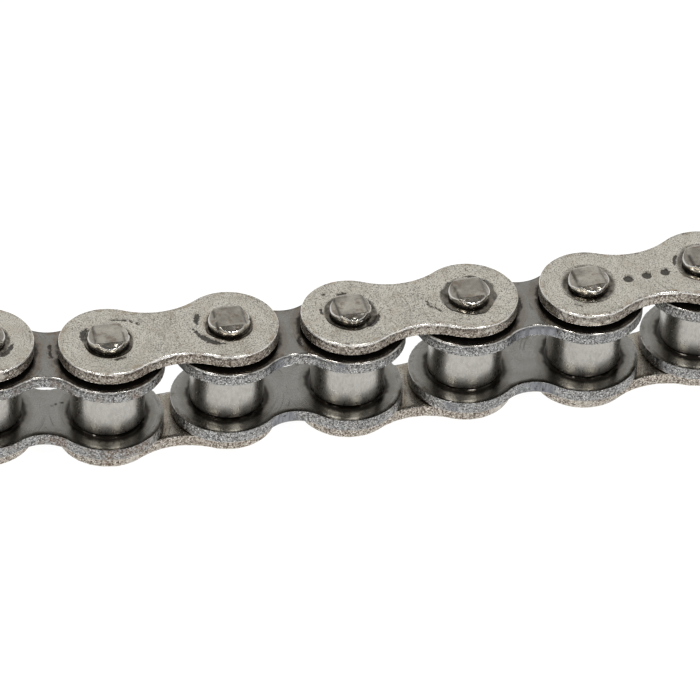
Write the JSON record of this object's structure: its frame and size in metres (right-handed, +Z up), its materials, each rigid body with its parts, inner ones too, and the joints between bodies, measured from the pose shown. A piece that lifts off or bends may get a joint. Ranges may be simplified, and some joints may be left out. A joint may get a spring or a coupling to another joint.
{
  "type": "roller chain",
  "caption": "Slack length of steel roller chain lying on its side: waisted inner and outer plates, bushes, free rollers and riveted pins.",
  "frame": {"origin": "under the middle of the chain's box, at the height of the lowest pin ends", "axes": "+X along the middle link and the length of the chain, +Y across the chain, +Z up along the pins"},
  "size_m": [0.1254, 0.0166, 0.0149],
  "materials": {
    "outer_plate_steel": "satin nickel-grey steel with fine scratches, pits and oil stains",
    "inner_plate_steel": "oily dark grey steel with sheared, striated edges",
    "roller_steel": "smooth satin-bright steel",
    "bush_steel": "smooth oily steel",
    "pin_steel": "staked steel, darker and slightly pitted"
  },
  "bodies": {
    "inner_link_1": {"inner_link_1_upper_plate": "inner_plate_steel", "inner_link_1_lower_plate": "inner_plate_steel", "inner_link_1_left_bush": "bush_steel", "inner_link_1_right_bush": "bush_steel"},
    "inner_link_1_left_roller": {"inner_link_1_left_roller": "roller_steel"},
    "inner_link_1_right_roller": {"inner_link_1_right_roller": "roller_steel"},
    "outer_link_1": {"outer_link_1_upper_plate": "outer_plate_steel", "outer_link_1_lower_plate": "outer_plate_steel", "outer_link_1_left_pin": "pin_steel", "outer_link_1_right_pin": "pin_steel"},
    "inner_link_2": {"inner_link_2_upper_plate": "inner_plate_steel", "inner_link_2_lower_plate": "inner_plate_steel", "inner_link_2_left_bush": "bush_steel", "inner_link_2_right_bush": "bush_steel"},
    "inner_link_2_left_roller": {"inner_link_2_left_roller": "roller_steel"},
    "inner_link_2_right_roller": {"inner_link_2_right_roller": "roller_steel"},
    "outer_link_2": {"outer_link_2_upper_plate": "outer_plate_steel", "outer_link_2_lower_plate": "outer_plate_steel", "outer_link_2_left_pin": "pin_steel", "outer_link_2_right_pin": "pin_steel"},
    "inner_link_3": {"inner_link_3_upper_plate": "inner_plate_steel", "inner_link_3_lower_plate": "inner_plate_steel", "inner_link_3_left_bush": "bush_steel", "inner_link_3_right_bush": "bush_steel"},
    "inner_link_3_left_roller": {"inner_link_3_left_roller": "roller_steel"},
    "inner_link_3_right_roller": {"inner_link_3_right_roller": "roller_steel"},
    "outer_link_3": {"outer_link_3_upper_plate": "outer_plate_steel", "outer_link_3_lower_plate": "outer_plate_steel", "outer_link_3_left_pin": "pin_steel", "outer_link_3_right_pin": "pin_steel"},
    "inner_link_4": {"inner_link_4_upper_plate": "inner_plate_steel", "inner_link_4_lower_plate": "inner_plate_steel", "inner_link_4_left_bush": "bush_steel", "inner_link_4_right_bush": "bush_steel"},
    "inner_link_4_left_roller": {"inner_link_4_left_roller": "roller_steel"},
    "inner_link_4_right_roller": {"inner_link_4_right_roller": "roller_steel"},
    "outer_link_4": {"outer_link_4_upper_plate": "outer_plate_steel", "outer_link_4_lower_plate": "outer_plate_steel", "outer_link_4_left_pin": "pin_steel", "outer_link_4_right_pin": "pin_steel"},
    "inner_link_5": {"inner_link_5_upper_plate": "inner_plate_steel", "inner_link_5_lower_plate": "inner_plate_steel", "inner_link_5_left_bush": "bush_steel", "inner_link_5_right_bush": "bush_steel"},
    "inner_link_5_left_roller": {"inner_link_5_left_roller": "roller_steel"},
    "inner_link_5_right_roller": {"inner_link_5_right_roller": "roller_steel"}
  },
  "joints": [
    {"name": "inner_link_3_to_outer_link_3", "type": "hinge", "parent": "inner_link_3", "child": "outer_link_3", "pos_m": [0.00622, -0.00159, 0.00747], "axis": [0, 0, 1], "range_deg": [-64, 56]},
    {"name": "outer_link_3_to_inner_link_4", "type": "hinge", "parent": "outer_link_3", "child": "inner_link_4", "pos_m": [0.01888, -0.0007, 0.00747], "axis": [0, 0, 1], "range_deg": [-56.1, 63.9]},
    {"name": "inner_link_4_to_outer_link_4", "type": "hinge", "parent": "inner_link_4", "child": "outer_link_4", "pos_m": [0.03159, -0.00068, 0.00747], "axis": [0, 0, 1], "range_deg": [-67.3, 52.7]},
    {"name": "outer_link_4_to_inner_link_5", "type": "hinge", "parent": "outer_link_4", "child": "inner_link_5", "pos_m": [0.04418, 0.00096, 0.00747], "axis": [0, 0, 1], "range_deg": [-55.9, 64.1]},
    {"name": "inner_link_3_to_outer_link_2", "type": "hinge", "parent": "inner_link_3", "child": "outer_link_2", "pos_m": [-0.00648, -0.00159, 0.00747], "axis": [0, 0, 1], "range_deg": [-63.9, 56.1]},
    {"name": "outer_link_2_to_inner_link_2", "type": "hinge", "parent": "outer_link_2", "child": "inner_link_2", "pos_m": [-0.01915, -0.00245, 0.00747], "axis": [0, 0, 1], "range_deg": [-47.3, 72.7]},
    {"name": "inner_link_2_to_outer_link_1", "type": "hinge", "parent": "inner_link_2", "child": "outer_link_1", "pos_m": [-0.0317, -0.00051, 0.00747], "axis": [0, 0, 1], "range_deg": [-64.1, 55.9]},
    {"name": "outer_link_1_to_inner_link_1", "type": "hinge", "parent": "outer_link_1", "child": "inner_link_1", "pos_m": [-0.04436, 0.00053, 0.00747], "axis": [0, 0, 1], "range_deg": [-56, 64]},
    {"name": "inner_link_1_left_roller_spin", "type": "hinge", "parent": "inner_link_1", "child": "inner_link_1_left_roller", "pos_m": [-0.05692, 0.00245, 0.00747], "axis": [0, 0, 1], "continuous": true},
    {"name": "inner_link_1_right_roller_spin", "type": "hinge", "parent": "inner_link_1", "child": "inner_link_1_right_roller", "pos_m": [-0.04436, 0.00053, 0.00747], "axis": [0, 0, 1], "continuous": true},
    {"name": "inner_link_2_left_roller_spin", "type": "hinge", "parent": "inner_link_2", "child": "inner_link_2_left_roller", "pos_m": [-0.0317, -0.00051, 0.00747], "axis": [0, 0, 1], "continuous": true},
    {"name": "inner_link_2_right_roller_spin", "type": "hinge", "parent": "inner_link_2", "child": "inner_link_2_right_roller", "pos_m": [-0.01915, -0.00245, 0.00747], "axis": [0, 0, 1], "continuous": true},
    {"name": "inner_link_3_left_roller_spin", "type": "hinge", "parent": "inner_link_3", "child": "inner_link_3_left_roller", "pos_m": [-0.00648, -0.00159, 0.00747], "axis": [0, 0, 1], "continuous": true},
    {"name": "inner_link_3_right_roller_spin", "type": "hinge", "parent": "inner_link_3", "child": "inner_link_3_right_roller", "pos_m": [0.00622, -0.00159, 0.00747], "axis": [0, 0, 1], "continuous": true},
    {"name": "inner_link_4_left_roller_spin", "type": "hinge", "parent": "inner_link_4", "child": "inner_link_4_left_roller", "pos_m": [0.01888, -0.0007, 0.00747], "axis": [0, 0, 1], "continuous": true},
    {"name": "inner_link_4_right_roller_spin", "type": "hinge", "parent": "inner_link_4", "child": "inner_link_4_right_roller", "pos_m": [0.03159, -0.00068, 0.00747], "axis": [0, 0, 1], "continuous": true},
    {"name": "inner_link_5_left_roller_spin", "type": "hinge", "parent": "inner_link_5", "child": "inner_link_5_left_roller", "pos_m": [0.04418, 0.00096, 0.00747], "axis": [0, 0, 1], "continuous": true},
    {"name": "inner_link_5_right_roller_spin", "type": "hinge", "parent": "inner_link_5", "child": "inner_link_5_right_roller", "pos_m": [0.05686, 0.00169, 0.00747], "axis": [0, 0, 1], "continuous": true}
  ]
}
